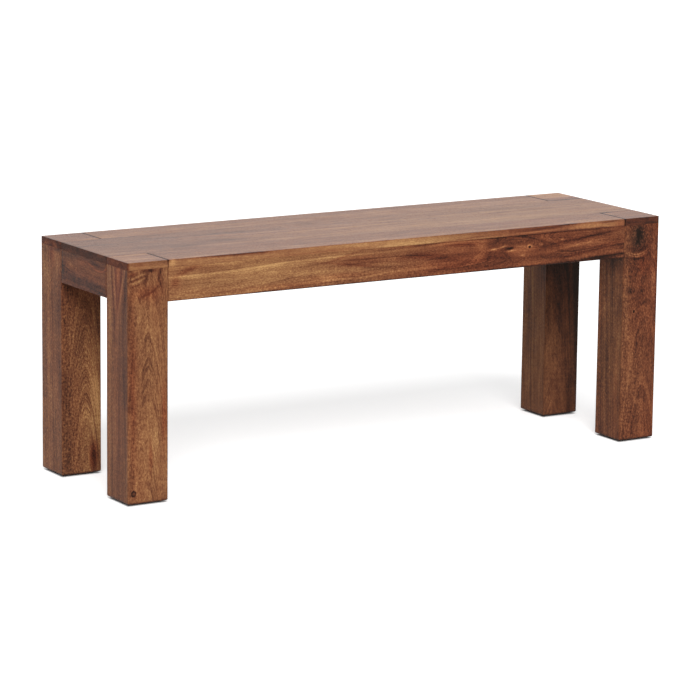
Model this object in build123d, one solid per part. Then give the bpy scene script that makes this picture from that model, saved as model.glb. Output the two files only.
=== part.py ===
from build123d import *
import os
from math import radians, sqrt, tan

# A backless bench in solid hardwood. Four square legs stand under the corners, a shallow frame
# of rails runs between them flush with their outer faces, and the seat is a panel of edge-glued
# staves whose corners are left open for a square cap on the top of each leg.
# Each leg is drawn into its corner by two hanger bolts through a bent steel corner plate.
# X runs along the bench, Y from front to rear and Z up. All sizes are in millimetres.
# The origin is on the floor, under the middle of the seat.

# Overall sizes
bench_length = 1200.0
bench_depth = 350.0
bench_height = 455.0     # floor to seat, with the foot glides

# Visible timber
leg_side = 84.0
seat_thickness = 14.0
rail_height = 64.0
rail_thickness = 22.0
middle_stave_count = 2
seam_gap = 0.8           # open seam between a cap and the end of the stave beside it
seam_chamfer = 0.6       # eased edges of the seat, the caps and the rails' ends
joint_chamfer = 0.3      # eased edges where the seat and the caps lie on the frame
leg_edge_round = 1.6     # long edges of the legs and of their caps
rail_edge_chamfer = 1.2  # lower edges of the rails
foot_chamfer = 2.5

# Flat across the leg's inner corner, and the bent steel plate that spans it
leg_flat_setback = 28.0
leg_flat_run_out = 3.5   # how far the flat runs on below the plate
plate_thickness = 2.5
plate_height = 50.0
plate_bend_radius = 1.5
plate_drop = 6.5         # from the underside of the seat to the plate's top edge
flange_length = 20.0
hook_depth = 8.0
kerf_clearance = 0.3

# Hanger bolts with their washers and nuts
bolt_radius = 4.0
bolt_in_leg = 50.0
bolt_point_length = 8.0
bolt_point_radius = 1.0
bolt_tail = 5.0          # thread left standing past the nut
bolt_end_chamfer = 0.8
bolt_spacing = 28.0
bolt_hole_clearance = 0.5
washer_radius = 9.0
washer_thickness = 1.6
nut_across_flats = 13.0
nut_height = 6.5
nut_chamfer_angle = 30.0

# Pan-head wood screws
screw_radius = 2.0
screw_head_radius = 4.2
screw_head_height = 2.6
screw_head_slope = 1.2   # the head's edge, eased at 45 degrees
screw_point_length = 4.0
screw_point_radius = 0.4
plate_screw_length = 16.0
plate_screw_spacing = 28.0
cleat_screw_length = 27.0

# Cleats that carry the seat along the long rails, and the brace across the middle
cleat_side = 18.0
cleat_edge_chamfer = 1.0
cleat_end_gap = 6.0      # from a corner plate's hook to the end of a cleat
cleat_screw_count = 3
cleat_screw_inset = 40.0
cleat_slot_length = 7.0
brace_thickness = 22.0
brace_height = 46.0

# Wooden dowels: brace to rails, and caps to legs
dowel_radius = 4.0
dowel_chamfer = 0.8
brace_dowel_length = 36.0
brace_dowel_in_rail = 12.0
brace_dowel_spacing = 26.0
cap_dowel_length = 28.0
cap_dowel_in_cap = 8.5
cap_dowel_inset = 25.0   # from the two nearest faces of the leg

# Nylon foot glides, nailed on
glide_radius = 13.0
glide_height = 3.0
glide_edge_chamfer = 0.9
nail_radius = 1.3
nail_length = 18.0
nail_point_length = 3.0
nail_head_radius = 3.2
nail_head_height = 1.0
nail_head_recess = 0.8   # from the glide's sole up to the nail head

# Clearances, the overrun of every cutting tool, and how near two equal places lie
fit_clearance = 0.05
hole_end_clearance = 0.4
cut_overrun = 1.0
same_place = 0.01

# Levels and places that follow from the sizes above
seat_underside = bench_height - seat_thickness
rail_underside = seat_underside - rail_height
half_length = bench_length / 2
half_depth = bench_depth / 2
leg_inner_x = half_length - leg_side       # inner faces of the legs, seen from the middle
leg_inner_y = half_depth - leg_side
rail_inner_y = half_depth - rail_thickness
plate_middle = seat_underside - plate_drop - plate_height / 2
flat_middle = leg_side - leg_flat_setback / 2     # middle of the leg's flat, from the outer corner
bend_place = 2 * flat_middle - rail_thickness     # where the plate's web meets a rail's face
hook_place = bend_place + flange_length
screw_place = bend_place + flange_length / 2
screw_hole_radius = screw_radius + fit_clearance
dowel_hole_radius = dowel_radius + fit_clearance

# A corner frame has its origin on the floor below the bench's outer corner, with its own X and Y
# running inwards along the two sides. Every corner piece is drawn once in it and placed four times.
CORNERS = {
    "front_left": Location((-half_length, -half_depth, 0), (0, 0, 0)),
    "front_right": Location((half_length, -half_depth, 0), (0, 0, 90)),
    "rear_right": Location((half_length, half_depth, 0), (0, 0, 180)),
    "rear_left": Location((-half_length, half_depth, 0), (0, 0, 270)),
}
LONG_SIDES = {"front": -1, "rear": 1}
ENDS = {"left": -1, "right": 1}

# How a solid sits on its place: below it, above it
BELOW = (Align.CENTER, Align.CENTER, Align.MAX)
ABOVE = (Align.CENTER, Align.CENTER, Align.MIN)


def block(x_range, y_range, z_range):
    """A box between two limits along each axis."""
    size = [high - low for low, high in (x_range, y_range, z_range)]
    middle = [(high + low) / 2 for low, high in (x_range, y_range, z_range)]
    return Pos(*middle) * Box(*size)


def edges_where(part, **levels):
    """The edges of part whose middles lie at every given level, such as X=edge and Z=top."""
    return [
        edge
        for edge in part.edges()
        if all(abs(getattr(edge.center(), axis) - level) < same_place for axis, level in levels.items())
    ]


def revolved(outline):
    """A solid turned about Z from an outline of (radius, height) points that starts on the axis."""
    points = [(radius, 0, height) for radius, height in outline]
    return revolve(make_face(Polyline(*points, close=True)), Axis.Z)


def across_corner(level, setting_out=0.0):
    """A place on a leg's diagonal at a level, with Z pointing out of the leg's flat."""
    along = flat_middle + setting_out / sqrt(2)
    return Plane((along, along, level), z_dir=(1, 1, 0)).location


def levels_about(middle, spacing):
    return [middle - spacing / 2, middle + spacing / 2]


def bolt_levels():
    return levels_about(plate_middle, bolt_spacing)


def plate_screw_places():
    """Places on a corner's two rails, first along X and then along Y, with Z out of the rail."""
    levels = levels_about(plate_middle, plate_screw_spacing)
    along_x = [Plane((screw_place, rail_thickness, z), z_dir=(0, 1, 0)).location for z in levels]
    along_y = [Plane((rail_thickness, screw_place, z), z_dir=(1, 0, 0)).location for z in levels]
    return along_x, along_y


def cap_dowel_places():
    far = leg_side - cap_dowel_inset
    return [Pos(cap_dowel_inset, far, seat_underside), Pos(far, cap_dowel_inset, seat_underside)]


def brace_dowel_places(side):
    """Places on a long rail's inner face at the brace, with Z pointing into the rail."""
    levels = levels_about(seat_underside - brace_height / 2, brace_dowel_spacing)
    return [Plane((0, side * rail_inner_y, z), z_dir=(0, side, 0)).location for z in levels]


def cleat_span(end):
    """The two ends of a cleat, between the brace and a corner plate."""
    reach = half_length - hook_place - plate_thickness - cleat_end_gap
    return sorted((end * brace_thickness / 2, end * reach))


def cleat_screw_places(side, end):
    """Places on a cleat's lower face, with Z pointing up."""
    low, high = cleat_span(end)
    first = low + cleat_screw_inset
    step = (high - cleat_screw_inset - first) / (cleat_screw_count - 1)
    y = side * (rail_inner_y - cleat_side / 2)
    return [Pos(first + n * step, y, seat_underside - cleat_side) for n in range(cleat_screw_count)]


# Visible timber

def leg():
    """A square post, chamfered round the foot, with a flat across its inner corner for the plate."""
    square = block((0, leg_side), (0, leg_side), (glide_height, seat_underside))
    chamfered = chamfer(edges_where(square, Z=glide_height), foot_chamfer)
    post = chamfered & fillet(square.edges().filter_by(Axis.Z), leg_edge_round)
    post = chamfer(post.faces().sort_by(Axis.Z)[-1].edges(), joint_chamfer)

    flat_height = plate_drop + plate_height + leg_flat_run_out + cut_overrun
    flat_place = across_corner(seat_underside + cut_overrun - flat_height / 2, leg_side / 2)
    post -= flat_place * Box(flat_height, leg_side, leg_side)

    pilot = Cylinder(bolt_radius + fit_clearance, bolt_in_leg + hole_end_clearance + cut_overrun, align=BELOW)
    post -= [across_corner(level, cut_overrun) * pilot for level in bolt_levels()]
    dowel_hole = Cylinder(dowel_hole_radius, cap_dowel_length - cap_dowel_in_cap + hole_end_clearance, align=BELOW)
    post -= [place * dowel_hole for place in cap_dowel_places()]
    nail_tip = nail_head_recess + nail_length + hole_end_clearance
    nail_hole = Cylinder(nail_radius + fit_clearance, nail_tip, align=ABOVE)
    return post - Pos(leg_side / 2, leg_side / 2, 0) * nail_hole


def leg_cap():
    """The square block on a leg's end, level with the seat. Its corner in the seat stays sharp."""
    cap = block((0, leg_side), (0, leg_side), (seat_underside, bench_height))
    outer = edges_where(cap, X=0, Y=0) + edges_where(cap, X=leg_side, Y=0) + edges_where(cap, X=0, Y=leg_side)
    cap = fillet(outer, leg_edge_round)
    cap = chamfer(cap.faces().sort_by(Axis.Z)[-1].edges(), seam_chamfer)
    cap = chamfer(cap.faces().sort_by(Axis.Z)[0].edges(), joint_chamfer)
    dowel_hole = Cylinder(dowel_hole_radius, cap_dowel_in_cap + hole_end_clearance, align=ABOVE)
    return cap - [place * dowel_hole for place in cap_dowel_places()]


def seat_screw_holes():
    """Pilot holes up into the seat for the screws through the cleats."""
    depth = cleat_screw_length - cleat_side + hole_end_clearance
    hole = Pos(0, 0, cleat_side) * Cylinder(screw_hole_radius, depth, align=ABOVE)
    sides = [(side, end) for side in LONG_SIDES.values() for end in ENDS.values()]
    return [place * hole for side, end in sides for place in cleat_screw_places(side, end)]


def outer_stave(side):
    """The stave along one long edge of the seat, between two caps."""
    reach = leg_inner_x - seam_gap
    edge = side * half_depth
    y_range = sorted((side * leg_inner_y, edge))
    stave = block((-reach, reach), y_range, (seat_underside, bench_height))
    eased = edges_where(stave, Y=edge, Z=bench_height)
    for x in (-reach, reach):
        eased += edges_where(stave, X=x, Z=bench_height) + edges_where(stave, X=x, Y=edge)
    stave = chamfer(eased, seam_chamfer)
    stave = chamfer(edges_where(stave, Y=edge, Z=seat_underside), joint_chamfer)
    return stave - seat_screw_holes()


def middle_stave(index):
    """One of the full-length staves between the two rows of caps."""
    width = 2 * leg_inner_y / middle_stave_count
    low = -leg_inner_y + index * width
    stave = block((-half_length, half_length), (low, low + width), (seat_underside, bench_height))
    for x in (-half_length, half_length):
        stave = chamfer(edges_where(stave, X=x, Z=bench_height), seam_chamfer)
        stave = chamfer(edges_where(stave, X=x, Z=seat_underside), joint_chamfer)
    return stave


def plate_kerf():
    """The saw kerf for a plate's hook in the rail along X, with its mouth eased for the bend."""
    near = hook_place - kerf_clearance
    far = hook_place + plate_thickness + kerf_clearance
    bottom = rail_thickness - hook_depth - kerf_clearance
    mouth = rail_thickness + cut_overrun
    outline = Polyline(
        (near, bottom),
        (near, rail_thickness - plate_bend_radius),
        (near - plate_bend_radius, rail_thickness),
        (near - plate_bend_radius, mouth),
        (far, mouth),
        (far, bottom),
        close=True,
    )
    kerf = extrude(make_face(outline), rail_height + 2 * cut_overrun)
    return Pos(0, 0, rail_underside - cut_overrun) * kerf


def rail(reach, distance):
    """A rail along X, a distance in front of the middle, cut at both ends for a corner plate.
    The bench goes on to reach in both directions, which leaves room for a leg past each end."""
    end = reach - leg_side
    outer = -distance
    inner = outer + rail_thickness
    board = block((-end, end), (outer, inner), (rail_underside, seat_underside))
    low_edges = edges_where(board, Y=outer, Z=rail_underside) + edges_where(board, Y=inner, Z=rail_underside)
    board = chamfer(low_edges, rail_edge_chamfer)
    board = chamfer(edges_where(board, X=-end, Y=outer) + edges_where(board, X=end, Y=outer), seam_chamfer)
    board = chamfer(edges_where(board, Y=outer, Z=seat_underside), joint_chamfer)
    depth = plate_screw_length - plate_thickness + hole_end_clearance + cut_overrun
    screw_hole = Pos(0, 0, cut_overrun) * Cylinder(screw_hole_radius, depth, align=BELOW)
    cuts = [plate_kerf()] + [place * screw_hole for place in plate_screw_places()[0]]
    left_cuts = [Pos(-reach, -distance, 0) * cut for cut in cuts]
    return board - left_cuts - [mirror(cut, Plane.YZ) for cut in left_cuts]


def long_rail(side):
    """The front or the rear rail, bored for the brace's dowels."""
    turned = Rot(0, 0, 0 if side < 0 else 180) * rail(half_length, half_depth)
    depth = brace_dowel_in_rail + hole_end_clearance + cut_overrun
    hole = Pos(0, 0, -cut_overrun) * Cylinder(dowel_hole_radius, depth, align=ABOVE)
    return turned - [place * hole for place in brace_dowel_places(side)]


def end_rail(end):
    """The short rail between the two legs of one end."""
    return Rot(0, 0, 90 * end) * rail(half_depth, half_length)


# Under the seat

def centre_brace():
    """The board across the middle, between the long rails and against the seat."""
    half_thickness = brace_thickness / 2
    underside = seat_underside - brace_height
    y_range = (-rail_inner_y, rail_inner_y)
    brace = block((-half_thickness, half_thickness), y_range, (underside, seat_underside))
    low_edges = [edge for x in (-half_thickness, half_thickness) for edge in edges_where(brace, X=x, Z=underside)]
    brace = chamfer(low_edges, cleat_edge_chamfer)
    hole = Cylinder(dowel_hole_radius, brace_dowel_length - brace_dowel_in_rail + hole_end_clearance, align=BELOW)
    return brace - [place * hole for side in LONG_SIDES.values() for place in brace_dowel_places(side)]


def seat_cleat(side, end):
    """A strip glued inside a long rail, slotted so that the seat can move across its grain."""
    free_face = side * (rail_inner_y - cleat_side)
    underside = seat_underside - cleat_side
    y_range = sorted((side * rail_inner_y, free_face))
    cleat = block(cleat_span(end), y_range, (underside, seat_underside))
    cleat = chamfer(edges_where(cleat, Y=free_face, Z=underside), cleat_edge_chamfer)
    slot = extrude(SlotOverall(cleat_slot_length, 2 * screw_hole_radius, rotation=90), cleat_side)
    return cleat - [place * slot for place in cleat_screw_places(side, end)]


def corner_plate():
    """A strip bent across the corner, with a flange and a hook into a saw kerf at each rail."""
    rail_side = [
        (hook_place, rail_thickness - hook_depth),
        (hook_place, rail_thickness),
        (bend_place, rail_thickness),
        (rail_thickness, bend_place),
        (rail_thickness, hook_place),
        (rail_thickness - hook_depth, hook_place),
    ]
    line = FilletPolyline(*rail_side, radius=plate_bend_radius)
    strip = make_face(offset(line, amount=plate_thickness, side=Side.RIGHT))
    plate = Pos(0, 0, plate_middle - plate_height / 2) * extrude(strip, plate_height)
    through = 2 * plate_thickness + 2 * cut_overrun
    bolt_hole = Cylinder(bolt_radius + bolt_hole_clearance, through)
    plate -= [across_corner(level) * bolt_hole for level in bolt_levels()]
    screw_hole = Cylinder(screw_hole_radius, through)
    return plate - [place * screw_hole for place in sum(plate_screw_places(), [])]


# Fasteners, drawn at the origin with Z pointing out of the wood

def hanger_bolt():
    """Wood thread with a point at one end, machine thread at the other."""
    tail = plate_thickness + washer_thickness + nut_height + bolt_tail
    return revolved([
        (0, -bolt_in_leg),
        (bolt_point_radius, -bolt_in_leg),
        (bolt_radius, bolt_point_length - bolt_in_leg),
        (bolt_radius, tail - bolt_end_chamfer),
        (bolt_radius - bolt_end_chamfer, tail),
        (0, tail),
    ])


def washer():
    ring = Cylinder(washer_radius, washer_thickness, align=ABOVE)
    bore = Cylinder(bolt_radius + fit_clearance, 2 * (washer_thickness + cut_overrun))
    return Pos(0, 0, plate_thickness) * (ring - bore)


def hex_nut():
    """A hexagon nut whose six corners are turned off on its outer face."""
    corner_radius = nut_across_flats / sqrt(3)
    corner_drop = (corner_radius - nut_across_flats / 2) * tan(radians(nut_chamfer_angle))
    prism = extrude(RegularPolygon(nut_across_flats / 2, 6, major_radius=False), nut_height)
    turned = revolved([
        (0, 0),
        (corner_radius, 0),
        (corner_radius, nut_height - corner_drop),
        (nut_across_flats / 2, nut_height),
        (0, nut_height),
    ])
    bore = Cylinder(bolt_radius + fit_clearance, 2 * (nut_height + cut_overrun))
    return Pos(0, 0, plate_thickness + washer_thickness) * (prism & turned - bore)


def pan_head_screw(length):
    """A wood screw whose head's underside is at the origin and whose shank runs down from it."""
    return revolved([
        (0, -length),
        (screw_point_radius, -length),
        (screw_radius, screw_point_length - length),
        (screw_radius, 0),
        (screw_head_radius, 0),
        (screw_head_radius, screw_head_height - screw_head_slope),
        (screw_head_radius - screw_head_slope, screw_head_height),
        (0, screw_head_height),
    ])


def dowel(length):
    pin = Cylinder(dowel_radius, length, align=BELOW)
    return chamfer(pin.edges().filter_by(GeomType.CIRCLE), dowel_chamfer)


def foot_glide():
    """A low disc under the leg, with a sunk place for the nail's head."""
    disc = Cylinder(glide_radius, glide_height, align=ABOVE)
    disc = chamfer(disc.faces().sort_by(Axis.Z)[0].edges(), glide_edge_chamfer)
    disc -= Cylinder(nail_head_radius + fit_clearance, nail_head_recess + nail_head_height, align=ABOVE)
    disc -= Cylinder(nail_radius + fit_clearance, 2 * (glide_height + cut_overrun))
    return Pos(leg_side / 2, leg_side / 2, 0) * disc


def glide_nail():
    neck = nail_head_recess + nail_head_height
    tip = nail_head_recess + nail_length
    nail = revolved([
        (0, nail_head_recess),
        (nail_head_radius, nail_head_recess),
        (nail_head_radius, neck),
        (nail_radius, neck),
        (nail_radius, tip - nail_point_length),
        (0, tip),
    ])
    return Pos(leg_side / 2, leg_side / 2, 0) * nail


# Placing and writing

def at_corners(pieces):
    """The same pieces of a corner frame, in every corner."""
    return [frame * piece for frame in CORNERS.values() for piece in pieces]


def write(node, pieces):
    """One STEP file for a node, from one piece or from a group of separate ones."""
    solids = [solid for piece in pieces for solid in piece.solids()]
    shape = solids[0] if len(solids) == 1 else Compound(children=solids)
    export_step(shape, os.path.join("parts", node + ".step"))


def write_timber():
    for name, side in LONG_SIDES.items():
        write(f"seat_stave_{name}", [outer_stave(side)])
        write(f"{name}_rail", [long_rail(side)])
    for index in range(middle_stave_count):
        write(f"seat_stave_middle_{index + 1}", [middle_stave(index)])
    for name, end in ENDS.items():
        write(f"{name}_end_rail", [end_rail(end)])
    for name, frame in CORNERS.items():
        write(f"leg_{name}", [frame * leg()])
        write(f"leg_cap_{name}", [frame * leg_cap()])
    cap_pin = Pos(0, 0, cap_dowel_in_cap) * dowel(cap_dowel_length)
    write("cap_dowels", at_corners([place * cap_pin for place in cap_dowel_places()]))


def write_seat_supports():
    write("centre_brace", [centre_brace()])
    brace_pin = Pos(0, 0, brace_dowel_in_rail) * dowel(brace_dowel_length)
    places = [place for side in LONG_SIDES.values() for place in brace_dowel_places(side)]
    write("brace_dowels", [place * brace_pin for place in places])
    # The seat's screws point up, so each is turned head down at its place.
    screw = Rot(180, 0, 0) * pan_head_screw(cleat_screw_length)
    screws = []
    for side_name, side in LONG_SIDES.items():
        for end_name, end in ENDS.items():
            write(f"seat_cleat_{side_name}_{end_name}", [seat_cleat(side, end)])
            screws += [place * screw for place in cleat_screw_places(side, end)]
    write("seat_screws", screws)


def write_corner_fittings():
    for name, frame in CORNERS.items():
        write(f"corner_plate_{name}", [frame * corner_plate()])
        write(f"foot_glide_{name}", [frame * foot_glide()])
    fittings = {"leg_bolts": hanger_bolt(), "leg_bolt_washers": washer(), "leg_bolt_nuts": hex_nut()}
    for node, piece in fittings.items():
        write(node, at_corners([across_corner(level) * piece for level in bolt_levels()]))
    screw = Pos(0, 0, plate_thickness) * pan_head_screw(plate_screw_length)
    write("corner_plate_screws", at_corners([place * screw for place in sum(plate_screw_places(), [])]))
    write("foot_glide_nails", at_corners([glide_nail()]))


os.makedirs("parts", exist_ok=True)
write_timber()
write_seat_supports()
write_corner_fittings()
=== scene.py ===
from math import ceil, cos, exp, hypot, pi, radians, sin, sqrt

import bmesh
import bpy
from mathutils import Matrix, Vector
from mathutils import noise as relief_noise


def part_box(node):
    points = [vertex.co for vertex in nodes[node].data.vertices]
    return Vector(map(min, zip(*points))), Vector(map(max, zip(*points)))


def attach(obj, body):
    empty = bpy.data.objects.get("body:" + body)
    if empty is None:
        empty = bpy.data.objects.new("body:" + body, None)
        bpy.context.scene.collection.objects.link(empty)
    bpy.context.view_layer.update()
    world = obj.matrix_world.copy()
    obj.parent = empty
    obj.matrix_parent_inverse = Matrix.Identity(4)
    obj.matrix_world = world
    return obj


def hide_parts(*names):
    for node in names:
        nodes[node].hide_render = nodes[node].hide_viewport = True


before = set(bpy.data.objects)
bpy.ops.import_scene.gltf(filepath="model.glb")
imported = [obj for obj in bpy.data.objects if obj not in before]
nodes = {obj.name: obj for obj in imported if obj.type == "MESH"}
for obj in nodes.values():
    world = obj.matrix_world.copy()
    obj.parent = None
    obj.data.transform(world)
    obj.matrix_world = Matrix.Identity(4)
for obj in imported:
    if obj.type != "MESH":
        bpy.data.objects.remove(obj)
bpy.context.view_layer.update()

scene = bpy.context.scene
scene.view_settings.view_transform = "Standard"
BODY = "root"

CORNERS = {
    "front_left": ("left", "front"),
    "front_right": ("right", "front"),
    "rear_right": ("right", "rear"),
    "rear_left": ("left", "rear"),
}
OPPOSITE = {"left": "right", "right": "left", "front": "rear", "rear": "front"}
SIGN = {"left": -1, "right": 1, "front": -1, "rear": 1}

# Camera, solved from the bench's corners in the photograph
camera_place = Vector((-3.43079, -5.50245, 1.49858))
camera_yaw = 0.5556
camera_pitch = 0.19654
camera_roll = 0.01233
camera_lens = 173.2
camera_sensor = 36.0
camera_reach = 200.0

# Light
sky_level = 0.36
key_level = 2.6
key_spread = radians(34)
key_turn = radians(-26)  # to the left of straight ahead
key_drop = radians(50)  # from straight down
back_level = 0.38
back_spread = radians(60)
back_turn = radians(160)
back_drop = radians(62)
floor_half = 40.0
floor_bounce = 0.5
floor_paint = 0.9
floor_glow = 0.48
contact_fade = 0.004  # how softly the painted shadow under a leg ends

# The bench's own sizes
half_length = 0.6
half_depth = 0.175
seat_top = 0.455
cap_inner_x = 0.516
cap_inner_y = 0.091
leg_middle = (0.558, 0.133)
leg_half = 0.042

# Edges as the sandpaper leaves them, a little rounder than the cut chamfers
leg_arris = 0.0018
foot_edge = 0.0044
seat_edge = 0.00105
joint_edge = 0.00055
rail_edge = 0.0021

# Hand sanding
cell_size = 0.0088
keep_off_edges = 0.0015  # between the even lines and a rounded edge
keep_off_knots = 0.002  # between the even lines and the closer ones at a knot
half_bend = 0.414  # how far out an edge's middle line lies, by its radius
hollow_reach = 2.6  # how far the closer lines go, by the size of a hollow
hollow_cells = 4
rim_width = 0.4
sanded_off = 0.00003
glue_line = 0.00001
wave_depth = 0.00016
wave_reach = 0.01
wave_stretch = Vector((15.0, 21.0, 15.0))
weld_reach = 0.000001
face_apart = 5.0  # between one face's waves and the next
smooth_below = radians(38)


# Sanded timber

FACES = {"left": (0, 0), "right": (0, 1), "front": (1, 0), "rear": (1, 1), "under": (2, 0), "top": (2, 1)}


def shaped_lines(low, high, margins, fine):
    """Places to divide a block along one axis: even cells, closer lines inside the rounded edges
    and round any knot, given as (place, half width, cell)."""
    count = max(1, round((high - low) / cell_size))
    even = [low + (high - low) * n / count for n in range(1, count)]
    keep_off = max(margins, default=0.0) + keep_off_edges
    even = [line for line in even if low + keep_off < line < high - keep_off]
    close = []
    for place, half_width, cell in fine:
        steps = ceil(half_width / cell)
        close += [place + n * cell for n in range(-steps, steps + 1)]
    close = [line for line in close if low + keep_off < line < high - keep_off]
    even = [line for line in even if all(abs(line - other) > keep_off_knots for other in close)]
    at_edges = []
    for margin in margins:
        for share in (1 - half_bend, 1.0):
            at_edges += [low + margin * share, high - margin * share]
    return sorted(set([low, high] + even + close + at_edges))


def divided_block(lines):
    """A closed box with one face between every two neighbouring lines."""
    numbers, faces = {}, []
    for axis in range(3):
        first, second = (axis + 1) % 3, (axis + 2) % 3
        for end in (0, len(lines[axis]) - 1):
            for i in range(len(lines[first]) - 1):
                for j in range(len(lines[second]) - 1):
                    ring = [(i, j), (i + 1, j), (i + 1, j + 1), (i, j + 1)]
                    if end == 0:
                        ring.reverse()
                    face = []
                    for a, b in ring:
                        key = [0, 0, 0]
                        key[axis], key[first], key[second] = end, a, b
                        face.append(numbers.setdefault(tuple(key), len(numbers)))
                    faces.append(face)
    points = [Vector(lines[axis][key[axis]] for axis in range(3)) for key in numbers]
    return points, faces


def depth_from(point, face, low, high):
    """How far a point lies inside one face of the block."""
    axis, side = FACES[face]
    return high[axis] - point[axis] if side else point[axis] - low[axis]


def set_depth(point, face, low, high, depth):
    axis, side = FACES[face]
    point[axis] = high[axis] - depth if side else low[axis] + depth


def round_edges(point, edges, low, high):
    """Draws a point that lies outside a rounded edge onto it."""
    for first, second, radius in edges:
        from_first = radius - depth_from(point, first, low, high)
        from_second = radius - depth_from(point, second, low, high)
        if from_first > 0 and from_second > 0:
            out = hypot(from_first, from_second)
            if out > radius:
                set_depth(point, first, low, high, radius - from_first * radius / out)
                set_depth(point, second, low, high, radius - from_second * radius / out)


def sanded_depth(point, face, pits):
    """How deep the sanding has gone at a point of a face, with any hollows in it."""
    wave = 0.5 + 0.5 * relief_noise.noise(point * wave_stretch + Vector((0, 0, face_apart * len(face))))
    depth = sanded_off + wave_depth * wave
    for pit_face, centre, size, deep, rim in pits:
        if pit_face == face:
            away = sqrt(sum(((p - c) / s) ** 2 for p, c, s in zip(point, centre, size)))
            depth += deep * exp(-((away - rim) / (rim_width if rim else 1.0)) ** 2)
    return depth


def sand(point, bare, pits, low, high):
    """Takes a point in from every face near it, evenly at a glued face and in waves at a bare one."""
    shifted = point.copy()
    for face, (axis, side) in FACES.items():
        depth = depth_from(point, face, low, high)
        if depth < wave_reach:
            taken = sanded_depth(point, face, pits) if face in bare else glue_line
            taken *= 1.0 - depth / wave_reach
            shifted[axis] += -taken if side else taken
    return shifted


def put_in_scene(name, data):
    made = bpy.data.objects.new(name, data)
    scene.collection.objects.link(made)
    return made


def plain_mesh(name, points, faces):
    mesh = bpy.data.meshes.new(name)
    mesh.from_pydata(points, [], faces)
    return mesh


def cut_with(piece, tool, operation):
    """Cuts one closed shape by another."""
    cut = piece.modifiers.new("cut", "BOOLEAN")
    cut.operation = operation
    cut.solver = "MANIFOLD"
    cut.object = tool


def take_up(piece):
    """Turns what a piece's modifiers make of it into its plain mesh."""
    made = bpy.data.meshes.new_from_object(piece.evaluated_get(bpy.context.evaluated_depsgraph_get()))
    made.name = piece.name
    piece.modifiers.clear()
    piece.data = made


def weld(mesh):
    """Joins a mesh's loose faces."""
    welded = bmesh.new()
    welded.from_mesh(mesh)
    bmesh.ops.remove_doubles(welded, verts=welded.verts, dist=weld_reach)
    welded.to_mesh(mesh)
    welded.free()


def join_bench(piece, node):
    """Smooths a finished piece and puts it in the place of its CAD node."""
    piece.data.shade_smooth()
    piece.data.set_sharp_from_angle(angle=smooth_below)
    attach(piece, BODY)
    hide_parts(node)


def sanded_timber(node, edges, bare, pits=()):
    """A finely divided piece with sanded faces and rounded edges, that keeps every cut of its CAD node."""
    low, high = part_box(node)
    lines = []
    for axis in range(3):
        margins = {radius for first, second, radius in edges if axis in (FACES[first][0], FACES[second][0])}
        fine = [
            (centre[axis], hollow_reach * size[axis], size[axis] / hollow_cells)
            for face, centre, size, deep, rim in pits
            if FACES[face][0] != axis
        ]
        lines.append(shaped_lines(low[axis], high[axis], sorted(margins), fine))
    points, faces = divided_block(lines)
    for point in points:
        round_edges(point, edges, low, high)
    points = [sand(point, bare, pits, low, high) for point in points]
    piece = put_in_scene(node + "_timber", plain_mesh(node + "_timber", points, faces))

    cad_mesh = nodes[node].data.copy()
    weld(cad_mesh)
    cad_copy = put_in_scene(node + "_cuts", cad_mesh)
    cut_with(piece, cad_copy, "INTERSECT")
    take_up(piece)
    bpy.data.objects.remove(cad_copy)
    join_bench(piece, node)
    return piece


# Shader nodes

def wire(tree, value, socket):
    """Joins a socket to another, or gives it a plain value. None leaves it alone."""
    if isinstance(value, bpy.types.NodeSocket):
        tree.links.new(value, socket)
    elif value is not None:
        socket.default_value = value


def step(tree, kind, values=(), **settings):
    """One shader node. Its values are wired to its inputs by name or by number."""
    made = tree.nodes.new(kind)
    for name, value in settings.items():
        setattr(made, name, value)
    pairs = values.items() if isinstance(values, dict) else enumerate(values)
    for key, value in pairs:
        wire(tree, value, made.inputs[key])
    return made


def number(tree, operation, *values):
    return step(tree, "ShaderNodeMath", values, operation=operation).outputs[0]


def times(tree, value, amount):
    return number(tree, "MULTIPLY", value, amount)


def added(tree, value, amount, start):
    """A value times an amount, added to another."""
    return number(tree, "MULTIPLY_ADD", value, amount, start)


def vector(tree, operation, *values):
    made = step(tree, "ShaderNodeVectorMath", values, operation=operation)
    return made.outputs[1 if operation in ("DOT_PRODUCT", "LENGTH") else 0]


def split(tree, place):
    return step(tree, "ShaderNodeSeparateXYZ", [place]).outputs


def merge(tree, x, y, z):
    return step(tree, "ShaderNodeCombineXYZ", [x, y, z]).outputs[0]


def mixed(tree, share, first, second, blend="MIX"):
    """Two colours mixed by a share from 0 to 1, through a Mix node's numbered sockets for colours."""
    values = {0: share, 6: first, 7: second}
    made = step(tree, "ShaderNodeMix", values, data_type="RGBA", blend_type=blend, clamp_factor=True)
    return made.outputs[2]


def span(tree, value, low, high, to_low=0.0, to_high=1.0):
    """A value carried smoothly from one range to another, and held at both ends."""
    values = [value, low, high, to_low, to_high]
    return step(tree, "ShaderNodeMapRange", values, interpolation_type="SMOOTHSTEP").outputs[0]


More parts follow.
